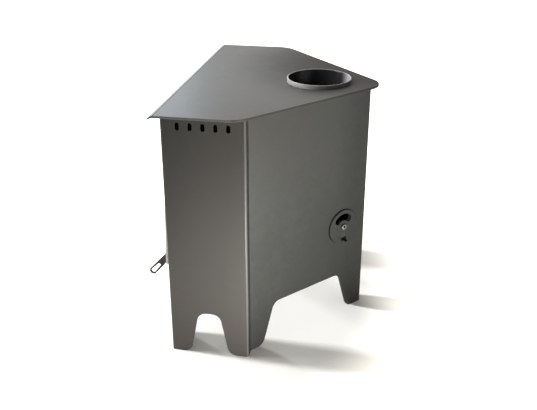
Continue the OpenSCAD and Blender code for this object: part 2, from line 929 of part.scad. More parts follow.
module glass_clips() color(bare_steel) placed() {
    edge = window_w / 2 + glass_lap;
    y0 = door_face + door_t;
    y1 = glass_y + glass_t;
    for (s = [0, 1], z = clip_levels)
        mirror([s, 0, 0])
            translate([0, 0, z - clip_w / 2])
                difference() {
                    linear_extrude(clip_w)
                        polygon([
                            [edge + 1, y0], [edge + clip_foot, y0],
                            [edge + clip_foot, y0 + clip_t], [edge + 1 + clip_t, y0 + clip_t],
                            [edge + 1 + clip_t, y1 + clip_t], [edge - clip_grip, y1 + clip_t],
                            [edge - clip_grip, y1], [edge + 1, y1]
                        ]);
                    rod_y(clip_screw_x, y0 - through, clip_w / 2, clip_screw_r + running,
                          clip_t + 2 * through);
                }
}

module clip_screws() color(bare_steel) placed() {
    y = door_face + door_t + clip_t;
    cut = 1.2;
    for (s = [-1, 1], z = clip_levels) {
        rod_y(s * clip_screw_x, screw_tip, z, clip_screw_r, y - screw_tip);
        difference() {
            rod_y(s * clip_screw_x, y, z, clip_head_r, clip_head_t);
            translate([s * clip_screw_x - clip_head_r, y + clip_head_t / 2, z - cut / 2])
                cube([2 * clip_head_r, clip_head_t, cut]);
        }
    }
}

module latch_bush() color(bare_steel) placed() {
    y = arm_back + 2 * slip;
    len = door_face + door_t + nut_t - y;
    difference() {
        rod_y(latch_x, y, latch_z, bush_r, len);
        rod_y(latch_x, y - through, latch_z, spindle_r + running, len + 2 * through);
    }
}

module latch_spindle() color(bare_steel) placed() {
    y = arm_front - 1;
    end = tongue_y + tongue_t + nut_t + 1;
    rod_y(latch_x, y, latch_z, spindle_r, end - y);
}

// Frame of the arm: the spindle's centre on the arm's back face, hanging down
module on_arm() {
    translate([latch_x, arm_back, latch_z])
        rotate([-arm_lean, 0, 0])
            children();
}

module latch_arm() color(bare_steel) placed() {
    difference() {
        on_arm()
            upright(-arm_t, arm_t) {
                circle(d = arm_w);
                translate([-arm_w / 2, -arm_len]) square([arm_w, arm_len]);
            }
        rod_y(latch_x, arm_front - arm_t, latch_z, spindle_r + running, 3 * arm_t);
    }
}

// Slotted grip, a flat plate on edge against the arm's front face
module latch_grip() color(paint_dark) placed() {
    root = grip_root();
    tail = 8;
    sideways(latch_x - grip_t / 2, grip_t)
        difference() {
            union() {
                translate(root)
                    rotate(180 + grip_ang)
                        polygon(teardrop(-grip_w, (grip_w - grip_taper) / 2,
                                         grip_len, grip_w / 2));
                translate([root.x - 2.5, root.y]) square([5, grip_w / 2 + tail]);
            }
            translate(root)
                rotate(180 + grip_ang)
                    polygon(teardrop(
                        grip_len - grip_slot_len, (grip_slot_w - grip_slot_taper) / 2,
                        grip_len, grip_slot_w / 2));
            translate([arm_back, latch_z])
                rotate(-arm_lean)
                    translate([-arm_t, -2 * arm_len]) square([arm_len, 2 * arm_len]);
        }
}

module latch_tongue() color(bare_steel) placed() {
    upright(tongue_y, tongue_t)
        translate([latch_x, latch_z])
            difference() {
                union() {
                    circle(r = bush_r);
                    translate([-tongue_w / 2, -tongue_len]) square([tongue_w, tongue_len]);
                }
                circle(r = spindle_r + running);
            }
}

module latch_nut() color(bare_steel) placed() {
    translate([latch_x, tongue_y + tongue_t, latch_z])
        rotate([-90, 0, 0])
            difference() {
                cylinder(r = spindle_r * 1.75, h = nut_t, $fn = 6);
                translate([0, 0, -through])
                    cylinder(r = spindle_r + running, h = nut_t + 2 * through);
            }
}

module ash_pan() color(bare_steel) placed() {
    y0 = drawer_face + drawer_sheet;
    half = pan_w / 2;
    d = pan_d + front_y - y0;
    difference() {
        translate([-half, y0, pan_z]) cube([pan_w, d, pan_h]);
        translate([-half + pan_t, y0 + pan_t, pan_z + pan_t])
            cube([pan_w - 2 * pan_t, d - 2 * pan_t, pan_h]);
        rod_y(0, y0 - through, knob_z, screw_hole_r, pan_t + 2 * through);
    }
}

module drawer_front() color(paint) placed() {
    half = drawer_front_w / 2;
    difference() {
        upright(drawer_face, drawer_sheet)
            polygon(rounded_box([-half, drawer_z], [half, drawer_top], 4));
        rod_y(0, drawer_face - through, knob_z, screw_hole_r, drawer_sheet + 2 * through);
    }
}

module drawer_tape_seal() color(rope_grey) placed() {
    edge = drawer_gap + 1;
    x = pan_w / 2 + edge + drawer_tape_w;
    low = ash_z + 1 - drawer_tape_w;
    high = pan_z + pan_h + edge + drawer_tape_w;
    upright(drawer_face + drawer_sheet, drawer_tape)
        frame_ring([-x, low], [x, high], 3, drawer_tape_w);
}

module drawer_knob() color(cast_iron) placed() {
    neck = 5;
    translate([0, drawer_face, knob_z])
        rotate([90, 0, 0])
            rotate_extrude()
                polygon(concat(
                    [[0, 0], [knob_r * 0.6, 0], [neck, 3], [neck, knob_out * 0.45]],
                    corner_arc([neck, knob_out * 0.45], [knob_r, knob_out * 0.6],
                               [knob_r, knob_out], 3),
                    corner_arc([knob_r, knob_out * 0.6], [knob_r, knob_out], [0, knob_out], 4),
                    [[0, knob_out]]));
}

module drawer_screw() color(bare_steel) placed() {
    y = drawer_face + drawer_sheet + pan_t;
    rod_y(0, drawer_face, knob_z, screw_hole_r - running, y - drawer_face);
    rod_y(0, y, knob_z, 2 * screw_hole_r, 2);
}

top_plate();
flue_collar();
front_panel();
side_wall_right();
side_wall_left();
rear_panel_right();
rear_panel_left();
side_shield_right();
side_shield_left();
bottom_plate();
floor_plate();
grate();
floor_brick_left();
floor_brick_right();
floor_brick_rear();
side_brick_right();
side_brick_left();
rear_brick_right();
rear_brick_left();
baffle_plate();
log_guard();
brick_stops();
air_duct();
drawer_rails();
hinge_eyes_body();
hinge_pins();
damper_pivot();
damper_washer();
damper_nut();
damper_disc();
door_frame();
seal_strip();
door_rope();
glass_tape();
door_glass();
glass_clips();
clip_screws();
hinge_eyes_door();
latch_bush();
latch_spindle();
latch_arm();
latch_grip();
latch_tongue();
latch_nut();
ash_pan();
drawer_front();
drawer_tape_seal();
drawer_knob();
drawer_screw();
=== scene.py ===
# Looks, light and camera for the corner wood stove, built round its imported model.
import json
import math

import bmesh
import bpy
from mathutils import Matrix, Vector


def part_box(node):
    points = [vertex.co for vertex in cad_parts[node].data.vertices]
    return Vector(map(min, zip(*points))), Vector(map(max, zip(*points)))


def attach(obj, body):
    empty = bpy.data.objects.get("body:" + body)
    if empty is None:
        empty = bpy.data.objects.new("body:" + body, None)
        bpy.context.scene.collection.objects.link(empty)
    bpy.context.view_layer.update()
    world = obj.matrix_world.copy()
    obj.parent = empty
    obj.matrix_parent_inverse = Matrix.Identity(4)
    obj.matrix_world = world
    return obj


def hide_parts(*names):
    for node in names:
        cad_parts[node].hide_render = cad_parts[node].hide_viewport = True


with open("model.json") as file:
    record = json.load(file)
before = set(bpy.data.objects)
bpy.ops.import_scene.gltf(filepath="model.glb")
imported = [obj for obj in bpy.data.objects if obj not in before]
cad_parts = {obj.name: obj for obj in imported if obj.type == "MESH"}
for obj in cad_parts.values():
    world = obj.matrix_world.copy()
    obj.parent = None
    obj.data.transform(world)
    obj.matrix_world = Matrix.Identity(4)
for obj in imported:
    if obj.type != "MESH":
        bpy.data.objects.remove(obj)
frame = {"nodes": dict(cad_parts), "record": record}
nodes = frame["nodes"]
bodyOf = {}
for body, members in frame["record"]["behaviour"]["bodies"].items():
    for member in members:
        bodyOf[member] = body
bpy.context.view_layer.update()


# Node helpers. An input is a constant or another node's output.
def feed(tree, value, socket):
    if isinstance(value, bpy.types.NodeSocket):
        tree.links.new(value, socket)
    else:
        socket.default_value = value


def addNode(tree, kind, spot, inputs=None, **fields):
    node = tree.nodes.new("ShaderNode" + kind)
    node.location = spot
    for field, value in fields.items():
        setattr(node, field, value)
    for socket, value in (inputs or {}).items():
        feed(tree, value, node.inputs[socket])
    return node


def newGroup(name, inputs, outputs):
    tree = bpy.data.node_groups.new(name, "ShaderNodeTree")
    for label, kind, value in inputs:
        socket = tree.interface.new_socket(name=label, in_out="INPUT", socket_type="NodeSocket" + kind)
        socket.default_value = value
    for label, kind in outputs:
        tree.interface.new_socket(name=label, in_out="OUTPUT", socket_type="NodeSocket" + kind)
    start = tree.nodes.new("NodeGroupInput")
    start.location = (-900, 0)
    end = tree.nodes.new("NodeGroupOutput")
    end.location = (900, 0)
    return tree, start.outputs, end.inputs


def mathOf(tree, operation, spot, *values, clamp=False):
    inputs = dict(enumerate(values))
    return addNode(tree, "Math", spot, inputs, operation=operation, use_clamp=clamp).outputs[0]


def vectorOf(tree, operation, spot, *values):
    return addNode(tree, "VectorMath", spot, dict(enumerate(values)), operation=operation).outputs


def rangeOf(tree, value, spot, fromMin, fromMax, toMin=0.0, toMax=1.0, smooth=False):
    return addNode(tree, "MapRange", spot, {
        "Value": value, "From Min": fromMin, "From Max": fromMax, "To Min": toMin, "To Max": toMax},
        interpolation_type="SMOOTHSTEP" if smooth else "LINEAR").outputs[0]


def around(tree, source, amount, middle, spot):
    # middle + amount * (source - 0.5) * 2
    spread = mathOf(tree, "MULTIPLY_ADD", spot, source, 2.0, -1.0)
    return mathOf(tree, "MULTIPLY_ADD", (spot[0] + 180, spot[1]), spread, amount, middle)


def ownCoords(tree, spot=(-900, 300)):
    return addNode(tree, "TexCoord", spot).outputs["Object"]


def noiseAt(tree, coords, spot, scale, detail=2.0, roughness=0.5):
    return addNode(tree, "TexNoise", spot, {
        "Vector": coords, "Scale": scale, "Detail": detail, "Roughness": roughness}).outputs["Fac"]


def tint(tree, colour, factor, spot):
    return addNode(tree, "VectorMath", spot, {0: colour, "Scale": factor}, operation="SCALE").outputs[0]


def blendColours(tree, mask, first, second, spot):
    return addNode(tree, "Mix", spot, {"Factor": mask, 6: first, 7: second}, data_type="RGBA").outputs[2]


def layOver(tree, mask, tone, given, result):
    # the given tone over the colour that comes in, and the mask for the gloss
    feed(tree, blendColours(tree, mask, given["Color"], given[tone], (400, 100)), result["Color"])
    feed(tree, mask, result["Mask"])


# In the looks of the groups below, a noise is its scale, detail and roughness.

# Sprayed paint: fine orange peel, and a slow drift of tone and gloss
filmLook = {
    "peelDetail": 3.0,
    "peelTone": 0.05,           # how much the orange peel shades the colour
    "gloss": (38.0, 4.0, 0.6),
    "drift": (4.0, 2.0, 0.5),
    "hue": (6.0, 2.0, 0.5),     # where the first colour turns into the second
    "hueRange": (0.35, 0.65),
}


def makePaintFilm(look):
    tree, given, result = newGroup(
        "Sprayed film",
        [("Color", "Color", (0.1, 0.1, 0.1, 1.0)), ("Second color", "Color", (0.1, 0.1, 0.1, 1.0)),
         ("Grain", "Float", 1200.0), ("Drift", "Float", 0.05), ("Roughness", "Float", 0.4),
         ("Gloss drift", "Float", 0.05)],
        [("Color", "Color"), ("Roughness", "Float"), ("Height", "Float")])
    coords = ownCoords(tree)
    fine = noiseAt(tree, coords, (-600, 300), given["Grain"], look["peelDetail"])
    cloud = noiseAt(tree, coords, (-600, 100), *look["gloss"])
    slow = noiseAt(tree, coords, (-600, -100), *look["drift"])
    spread = noiseAt(tree, coords, (-600, -300), *look["hue"])
    tone = mathOf(tree, "MULTIPLY", (0, 100), around(tree, slow, given["Drift"], 1.0, (-380, -100)),
                  around(tree, fine, look["peelTone"], 1.0, (-380, 300)))
    hue = blendColours(tree, rangeOf(tree, spread, (-380, -300), *look["hueRange"]),
                       given["Color"], given["Second color"], (-100, -300))
    feed(tree, tint(tree, hue, tone, (200, 200)), result["Color"])
    feed(tree, around(tree, cloud, given["Gloss drift"], given["Roughness"], (-380, 100)),
         result["Roughness"])
    feed(tree, fine, result["Height"])
    return tree


# Rubbed edges and corners, found by how far the surface bulges
wearLook = {"bulge": (0.52, 0.62), "patches": (55.0, 5.0, 0.65), "patchRange": (0.42, 0.62)}


def makeEdgeWear(look):
    tree, given, result = newGroup(
        "Edge wear",
        [("Color", "Color", (0.1, 0.1, 0.1, 1.0)), ("Worn", "Color", (0.4, 0.4, 0.4, 1.0)),
         ("Amount", "Float", 0.3)],
        [("Color", "Color"), ("Mask", "Float")])
    bulge = addNode(tree, "NewGeometry", (-900, -200)).outputs["Pointiness"]
    edge = rangeOf(tree, bulge, (-600, -200), *look["bulge"])
    patches = noiseAt(tree, ownCoords(tree), (-600, 200), *look["patches"])
    patchy = rangeOf(tree, patches, (-380, 200), *look["patchRange"])
    where = mathOf(tree, "MULTIPLY", (-100, 0), edge, patchy)
    mask = mathOf(tree, "MULTIPLY", (100, 0), where, given["Amount"], clamp=True)
    layOver(tree, mask, "Worn", given, result)
    return tree


# A little dust on whatever faces up
dustLook = {"facingUp": (0.3, 1.0), "patches": (22.0, 5.0, 0.6), "swing": 0.5, "middle": 0.6}


def makeDustFall(look):
    tree, given, result = newGroup(
        "Dust fall",
        [("Color", "Color", (0.1, 0.1, 0.1, 1.0)), ("Dust", "Color", (0.35, 0.34, 0.32, 1.0)),
         ("Amount", "Float", 0.1)],
        [("Color", "Color"), ("Mask", "Float")])
    normal = addNode(tree, "NewGeometry", (-900, -200)).outputs["Normal"]
    upward = addNode(tree, "SeparateXYZ", (-700, -200), {0: normal}).outputs["Z"]
    patches = noiseAt(tree, ownCoords(tree), (-600, 200), *look["patches"])
    where = mathOf(tree, "MULTIPLY", (0, 0), rangeOf(tree, upward, (-500, -200), *look["facingUp"]),
                   around(tree, patches, look["swing"], look["middle"], (-380, 200)))
    mask = mathOf(tree, "MULTIPLY", (180, 0), where, given["Amount"], clamp=True)
    layOver(tree, mask, "Dust", given, result)
    return tree


# A round patch of another tone and gloss: here mostly painted shade, painted light and painted highlights,
# with soot inside the flue socket
patchLook = {"wobble": (14.0, 3.0, 0.5)}


def makeRoundPatch(look):
    tree, given, result = newGroup(
        "Round patch",
        [("Color", "Color", (0.1, 0.1, 0.1, 1.0)), ("Patch", "Color", (0.05, 0.04, 0.03, 1.0)),
         ("Centre", "Vector", (0.0, 0.0, 0.0)), ("Weights", "Vector", (1.0, 1.0, 0.0)),
         ("Inner", "Float", 0.06), ("Outer", "Float", 0.2), ("Wobble", "Float", 0.0),
         ("Amount", "Float", 0.5)],
        [("Color", "Color"), ("Mask", "Float")])
    coords = ownCoords(tree)
    offset = vectorOf(tree, "SUBTRACT", (-700, 300), coords, given["Centre"])[0]
    weighed = vectorOf(tree, "MULTIPLY", (-520, 300), offset, given["Weights"])[0]
    away = vectorOf(tree, "LENGTH", (-340, 300), weighed)["Value"]
    ripple = noiseAt(tree, coords, (-700, 0), *look["wobble"])
    wavy = mathOf(tree, "ADD", (-160, 200), away, around(tree, ripple, given["Wobble"], 0.0, (-520, 0)))
    ring = rangeOf(tree, wavy, (20, 200), given["Inner"], given["Outer"], 1.0, 0.0, smooth=True)
    mask = mathOf(tree, "MULTIPLY", (200, 100), ring, given["Amount"], clamp=True)
    layOver(tree, mask, "Patch", given, result)
    return tree


# Rolled or brushed steel: long scratches along one direction
steelLook = {"lines": (2600.0, 4.0, 0.6), "lineTone": 0.12, "cloud": (40.0, 3.0, 0.5), "glossDrift": 0.08}


def makeSteelGrain(look):
    tree, given, result = newGroup(
        "Steel grain",
        [("Color", "Color", (0.6, 0.6, 0.58, 1.0)), ("Stretch", "Vector", (1.0, 1.0, 0.04)),
         ("Roughness", "Float", 0.35)],
        [("Color", "Color"), ("Roughness", "Float"), ("Height", "Float")])
    coords = ownCoords(tree)
    along = vectorOf(tree, "MULTIPLY", (-700, 300), coords, given["Stretch"])[0]
    lines = noiseAt(tree, along, (-500, 300), *look["lines"])
    cloud = noiseAt(tree, coords, (-500, 0), *look["cloud"])
    tone = around(tree, lines, look["lineTone"], 1.0, (-280, 300))
    feed(tree, tint(tree, given["Color"], tone, (200, 300)), result["Color"])
    feed(tree, around(tree, cloud, look["glossDrift"], given["Roughness"], (-280, 0)), result["Roughness"])
    feed(tree, lines, result["Height"])
    return tree


# Sand-cast iron: lumpy skin with small pits
castLook = {"lumpDetail": 6.0, "lumpRoughness": 0.65, "lumpTone": 0.35, "glossDrift": 0.1,
            "pits": 260.0, "pitRange": (0.02, 0.18)}


def makeCastSkin(look):
    tree, given, result = newGroup(
        "Cast skin",
        [("Color", "Color", (0.06, 0.06, 0.06, 1.0)), ("Lumps", "Float", 420.0), ("Roughness", "Float", 0.6)],
        [("Color", "Color"), ("Roughness", "Float"), ("Height", "Float")])
    coords = ownCoords(tree)
    lumps = noiseAt(tree, coords, (-600, 300), given["Lumps"], look["lumpDetail"], look["lumpRoughness"])
    pits = addNode(tree, "TexVoronoi", (-600, 0), {"Vector": coords, "Scale": look["pits"]})
    dent = rangeOf(tree, pits.outputs["Distance"], (-380, 0), *look["pitRange"])
    tone = around(tree, lumps, look["lumpTone"], 1.0, (-280, 300))
    feed(tree, tint(tree, given["Color"], tone, (200, 300)), result["Color"])
    feed(tree, around(tree, lumps, look["glossDrift"], given["Roughness"], (-280, -200)), result["Roughness"])
    feed(tree, mathOf(tree, "MULTIPLY", (-100, 100), lumps, dent), result["Height"])
    return tree


# Pressed vermiculite: flakes in gold, sand and grey
flakeLook = {"roughness": 0.75, "glossDrift": 0.2}


def makeFlakes(look):
    tree, given, result = newGroup(
        "Pressed flakes",
        [("Sand", "Color", (0.55, 0.45, 0.3, 1.0)), ("Gold", "Color", (0.5, 0.33, 0.13, 1.0)),
         ("Flakes", "Float", 420.0)],
        [("Color", "Color"), ("Roughness", "Float"), ("Height", "Float")])
    cells = addNode(tree, "TexVoronoi", (-600, 200), {"Vector": ownCoords(tree), "Scale": given["Flakes"]})
    pick = addNode(tree, "SeparateColor", (-380, 200), {0: cells.outputs["Color"]}).outputs
    feed(tree, blendColours(tree, pick["Red"], given["Sand"], given["Gold"], (0, 200)), result["Color"])
    feed(tree, around(tree, pick["Green"], look["glossDrift"], look["roughness"], (-100, -100)),
         result["Roughness"])
    feed(tree, pick["Blue"], result["Height"])
    return tree


# Knitted glass fibre: two crossing sets of strands
knitLook = {"lean": 45.0, "distortion": 1.5, "detail": 1.0, "tone": 0.85, "toneSwing": 0.3}


def makeKnit(look):
    tree, given, result = newGroup(
        "Knitted strands",
        [("Color", "Color", (0.3, 0.29, 0.27, 1.0)), ("Strands", "Float", 260.0)],
        [("Color", "Color"), ("Height", "Float")])
    coords = ownCoords(tree)
    heights = []
    for height, lean in ((300, look["lean"]), (0, -look["lean"])):
        turned = addNode(tree, "VectorRotate", (-700, height), {
            "Vector": coords, "Angle": math.radians(lean)}, rotation_type="Y_AXIS").outputs[0]
        wave = addNode(tree, "TexWave", (-500, height), {
            "Vector": turned, "Scale": given["Strands"], "Distortion": look["distortion"],
            "Detail": look["detail"]}, bands_direction="X")
        heights.append(wave.outputs["Fac"])
    over = mathOf(tree, "MAXIMUM", (-200, 100), *heights)
    tone = around(tree, over, look["toneSwing"], look["tone"], (0, 300))
    feed(tree, tint(tree, given["Color"], tone, (400, 300)), result["Color"])
    feed(tree, over, result["Height"])
    return tree


groups = {
    "film": makePaintFilm(filmLook), "wear": makeEdgeWear(wearLook), "dust": makeDustFall(dustLook),
    "steel": makeSteelGrain(steelLook), "patch": makeRoundPatch(patchLook), "cast": makeCastSkin(castLook),
    "flakes": makeFlakes(flakeLook), "knit": makeKnit(knitLook),
}
print("shader groups:", ", ".join(sorted(groups)))


# Materials
def placeGroup(tree, group, spot, inputs):
    return addNode(tree, "Group", spot, inputs, node_tree=groups[group]).outputs


plainShader = {"Metallic": 0.0, "IOR": 1.45, "Specular IOR Level": 0.5}


def newMaterial(name, inputs):
    material = bpy.data.materials.new(name)
    material.use_nodes = True
    tree = material.node_tree
    tree.nodes.clear()
    shader = addNode(tree, "BsdfPrincipled", (600, 0), {**plainShader, **inputs})
    addNode(tree, "OutputMaterial", (900, 0), {0: shader.outputs[0]})
    return material, tree, shader


def bumpFrom(tree, height, shader, strength, distance):
    bump = addNode(tree, "Bump", (350, -300), {"Strength": strength, "Distance": distance, "Height": height})
    feed(tree, bump.outputs[0], shader.inputs["Normal"])


def paintMaterial(name, look):
    material, tree, shader = newMaterial(name, {
        "Metallic": look["metallic"], "Specular IOR Level": look["specular"]})
    film = placeGroup(tree, "film", (-700, 0), {
        "Color": look["colour"], "Second color": look["second"], "Grain": look["grain"],
        "Drift": look["drift"], "Roughness": look["roughness"], "Gloss drift": look["glossDrift"]})
    colour = film["Color"]
    gloss = film["Roughness"]
    for row, (values, dulls) in enumerate(look.get("patches", [])):
        height = 300 + 300 * row
        patch = placeGroup(tree, "patch", (-450, height), dict(values, Color=colour))
        colour = patch["Color"]
        gloss = mathOf(tree, "MULTIPLY_ADD", (-200, height), patch["Mask"], dulls, gloss, clamp=True)
    wear = placeGroup(tree, "wear", (-200, 100), {
        "Color": colour, "Worn": look["worn"], "Amount": look["wear"]})
    dust = placeGroup(tree, "dust", (100, 100), {
        "Color": wear["Color"], "Dust": look["dust"], "Amount": look["dustAmount"]})
    feed(tree, dust["Color"], shader.inputs["Base Color"])
    feed(tree, gloss, shader.inputs["Roughness"])
    bumpFrom(tree, film["Height"], shader, look["peel"], look["peelDepth"])
    return material


def grainedMaterial(name, group, look, inputs, metallic=0.0):
    material, tree, shader = newMaterial(name, {"Metallic": metallic})
    grain = placeGroup(tree, group, (-300, 0), inputs)
    feed(tree, grain["Color"], shader.inputs["Base Color"])
    gloss = grain["Roughness"] if "Roughness" in grain else look["roughness"]
    feed(tree, gloss, shader.inputs["Roughness"])
    bumpFrom(tree, grain["Height"], shader, look["bump"], look["depth"])
    return material


def steelMaterial(name, look):
    return grainedMaterial(name, "steel", look, {
        "Color": look["colour"], "Stretch": look["stretch"], "Roughness": look["roughness"]}, 1.0)


def tonePatch(tone, centre, inner, outer, amount, dulls, weights=(1.0, 1.0, 0.0), wobble=0.0):
    # full inside the inner radius and gone at the outer one; dulls is added to the roughness
    return {"Patch": tone, "Centre": centre, "Weights": weights, "Inner": inner, "Outer": outer,
            "Wobble": wobble, "Amount": amount}, dulls


# Ways to measure a patch: all round its centre, or along one axis only
allRound = (1.0, 1.0, 1.0)
acrossX = (1.0, 0.0, 0.0)
acrossY = (0.0, 1.0, 0.0)
acrossZ = (0.0, 0.0, 1.0)

stovePaint = {
    "colour": (0.078, 0.081, 0.076, 1.0), "second": (0.084, 0.080, 0.073, 1.0),
    "metallic": 0.0, "specular": 0.35, "roughness": 0.33, "glossDrift": 0.04, "grain": 1300.0,
    "drift": 0.06, "peel": 0.12, "peelDepth": 0.0002, "worn": (0.16, 0.155, 0.15, 1.0), "wear": 0.25,
    "dust": (0.3, 0.29, 0.27, 1.0), "dustAmount": 0.02,
}
platePaint = dict(stovePaint, patches=[
    # painted shade: the plate darker and browner towards its back, beyond the flue
    tonePatch((0.022, 0.014, 0.010, 1.0), (-0.13, 0.20, 0.45), 0.10, 0.32, 1.0, 0.3, wobble=0.02),
    # painted highlight along the plate's rounded right edge
    tonePatch((0.22, 0.22, 0.21, 1.0), (0.2505, 0.0, 0.0), 0.0008, 0.0018, 0.6, -0.05, acrossX),
    # smooth front lip, then painted shade in its crease and along its cut end
    tonePatch((0.080, 0.083, 0.08, 1.0), (0.0, -0.1459, 0.0), 0.0029, 0.0033, 1.0, -0.2, acrossY),
    tonePatch((0.03, 0.03, 0.03, 1.0), (0.0, -0.1415, 0.0), 0.0005, 0.0011, 0.9, 0.25, acrossY),
    tonePatch((0.02, 0.02, 0.02, 1.0), (0.0, -0.1505, 0.0), 0.0028, 0.0034, 1.0, 0.65, acrossY)])
# the flue socket's paint, much lighter than the stove paint: a painted highlight on its rounded bead
ringPaint = dict(
    stovePaint, colour=(0.42, 0.42, 0.42, 1.0), second=(0.38, 0.38, 0.38, 1.0), specular=0.5,
    roughness=0.25, wear=0.0, dustAmount=0.0, patches=[
        # painted shade and soot inside the socket, but for painted light on its right inner wall
        tonePatch((0.022, 0.023, 0.024, 1.0), (0.0, 0.09059, 0.45), 0.0555, 0.0562, 1.0, 0.0),
        tonePatch((0.55, 0.56, 0.58, 1.0), (0.0, 0.1459, 0.45), 0.018, 0.048, 1.0, 0.0)])
# painted shade just under the top plate
paintedShadeUnderPlate = tonePatch((0.02, 0.02, 0.019, 1.0), (0.0, 0.0, 0.447), 0.002, 0.009, 0.75, 0.1, acrossZ)
shieldPatches = [
    paintedShadeUnderPlate,
    # painted shade, darker towards the top front
    tonePatch((0.040, 0.038, 0.036, 1.0), (0.0, -0.19, 0.42), 0.02, 0.16, 0.75, 0.12,
              (0.0, 1.0, 0.5), 0.01)]
for side in (1, -1):
    shieldPatches += [
        # painted shade on the flange, and a painted highlight on the bend beside it
        tonePatch((0.018, 0.018, 0.018, 1.0), (side * 0.2175, 0.0036, 0.0), 0.0086, 0.0092, 1.0, 0.3),
        tonePatch((0.19, 0.19, 0.18, 1.0), (side * 0.2289, 0.0022, 0.0), 0.0010, 0.0022, 0.6, -0.05)]
# a warmer grey than the stove paint: painted warm reflection on the side shields
shieldPaint = dict(stovePaint, colour=(0.080, 0.0765, 0.0715, 1.0), second=(0.083, 0.077, 0.070, 1.0),
                   patches=shieldPatches)
# darker towards the feet and the back corner, as the photo's light leaves it
towardsFeet = tonePatch((0.055, 0.057, 0.054, 1.0), (0.0, 0.0, 0.0), 0.14, 0.46, 1.0, 0.0, acrossZ, 0.01)
backCorner = tonePatch((0.035, 0.035, 0.033, 1.0), (0.0, 0.20, 0.22), 0.02, 0.085, 0.6, 0.15,
                       (1.0, 0.6, 0.12), 0.008)
# a lighter grey than the stove paint: painted light on the back panels and the damper disc
discPaint = dict(stovePaint, colour=(0.105, 0.109, 0.103, 1.0), second=(0.113, 0.108, 0.099, 1.0),
                 patches=[towardsFeet, backCorner])
backPanelPaint = dict(discPaint, patches=[
    paintedShadeUnderPlate, towardsFeet, backCorner,
    # painted shadow line just outside the damper disc's edge
    tonePatch((0.006, 0.006, 0.006, 1.0), (0.0439, 0.1468, 0.1846), 0.0343, 0.0350, 1.0, 0.3, allRound)])
screwSteel = dict(
    stovePaint, colour=(0.42, 0.41, 0.4, 1.0), second=(0.38, 0.37, 0.36, 1.0), metallic=1.0,
    roughness=0.25, wear=0.0, dustAmount=0.0, patches=[
        # painted shade in the head's socket
        tonePatch((0.01, 0.01, 0.01, 1.0), (0.0477, 0.1512, 0.1849), 0.0027, 0.0032, 1.0, 0.5, allRound)])
gripPaint = dict(stovePaint, colour=(0.15, 0.15, 0.145, 1.0), second=(0.16, 0.155, 0.145, 1.0),
                 specular=0.2, roughness=0.5, wear=0.1)
darkPaint = dict(stovePaint, colour=(0.020, 0.020, 0.019, 1.0), second=(0.022, 0.021, 0.019, 1.0),
                 roughness=0.45, wear=0.15)
# sooty paint for the baffle, also put on the air duct as painted shade behind the damper's slot
sootAndShadePaint = dict(stovePaint, colour=(0.010, 0.010, 0.010, 1.0), second=(0.013, 0.012, 0.011, 1.0),
                 specular=0.3, roughness=0.6, wear=0.0, dustAmount=0.0)
bareSteel = {"colour": (0.37, 0.365, 0.35, 1.0), "roughness": 0.36, "bump": 0.15, "depth": 0.0001,
             "stretch": (1.0, 1.0, 0.04)}
darkSteel = dict(bareSteel, colour=(0.16, 0.158, 0.155, 1.0), roughness=0.3, bump=0.1)
panSteel = dict(bareSteel, colour=(0.42, 0.42, 0.41, 1.0), roughness=0.42, stretch=(0.04, 1.0, 1.0))
castIron = {"colour": (0.05, 0.05, 0.051, 1.0), "roughness": 0.62, "bump": 0.5, "depth": 0.0004}
fireBrick = {"sand": (0.58, 0.48, 0.32, 1.0), "gold": (0.5, 0.34, 0.15, 1.0), "flakes": 430.0,
             "bump": 0.45, "depth": 0.0006}
sealRope = {"colour": (0.33, 0.32, 0.3, 1.0), "strands": 150.0, "roughness": 0.9, "bump": 0.8,
            "depth": 0.0008}
fireGlass = {"colour": (0.88, 0.8, 0.7, 1.0), "roughness": 0.03, "ior": 1.5,
             "haze": (18.0, 4.0, 0.6), "hazeShare": 0.6}


# Ceramic glass: clear, faintly brown, with a trace of handling on it
def glassMaterial(name, look):
    material, tree, shader = newMaterial(name, {
        "Base Color": look["colour"], "IOR": look["ior"], "Transmission Weight": 1.0})
    haze = noiseAt(tree, ownCoords(tree, (-600, 0)), (-400, 0), *look["haze"])
    gloss = around(tree, haze, look["roughness"] * look["hazeShare"], look["roughness"], (-150, 0))
    feed(tree, gloss, shader.inputs["Roughness"])
    return material


materials = {
    "stove_paint": paintMaterial("Grey stove paint", stovePaint),
    "plate_paint": paintMaterial("Grey stove paint, painted shade towards the back", platePaint),
    "ring_paint": paintMaterial("Grey stove paint, sooty inside", ringPaint),
    "back_paint": paintMaterial("Grey stove paint on the back panels", backPanelPaint),
    "disc_paint": paintMaterial("Grey stove paint on the damper", discPaint),
    "shield_paint": paintMaterial("Grey stove paint on the side shields", shieldPaint),
    "screw_steel": paintMaterial("Steel screw head", screwSteel),
    "grip_paint": paintMaterial("Dark grey paint on the grip", gripPaint),
    "soot_paint": paintMaterial("Sooty paint, painted shade on the air duct", sootAndShadePaint),
    "dark_paint": paintMaterial("Black stove paint", darkPaint),
    "bare_steel": steelMaterial("Bare steel", bareSteel),
    "dark_steel": steelMaterial("Blackened steel", darkSteel),
    "pan_steel": steelMaterial("Pan steel", panSteel),
    "cast_iron": grainedMaterial("Cast iron", "cast", castIron, {
        "Color": castIron["colour"], "Roughness": castIron["roughness"]}),
    "fire_brick": grainedMaterial("Vermiculite", "flakes", fireBrick, {
        "Sand": fireBrick["sand"], "Gold": fireBrick["gold"], "Flakes": fireBrick["flakes"]}),
    "seal_rope": grainedMaterial("Glass-fibre rope", "knit", sealRope, {
        "Color": sealRope["colour"], "Strands": sealRope["strands"]}),
    "fire_glass": glassMaterial("Ceramic glass", fireGlass),
}
print("materials:", len(materials))

slotOf = {}
for part in frame["record"]["subparts"]:
    slotOf[part["node"]] = part["material_slot"]


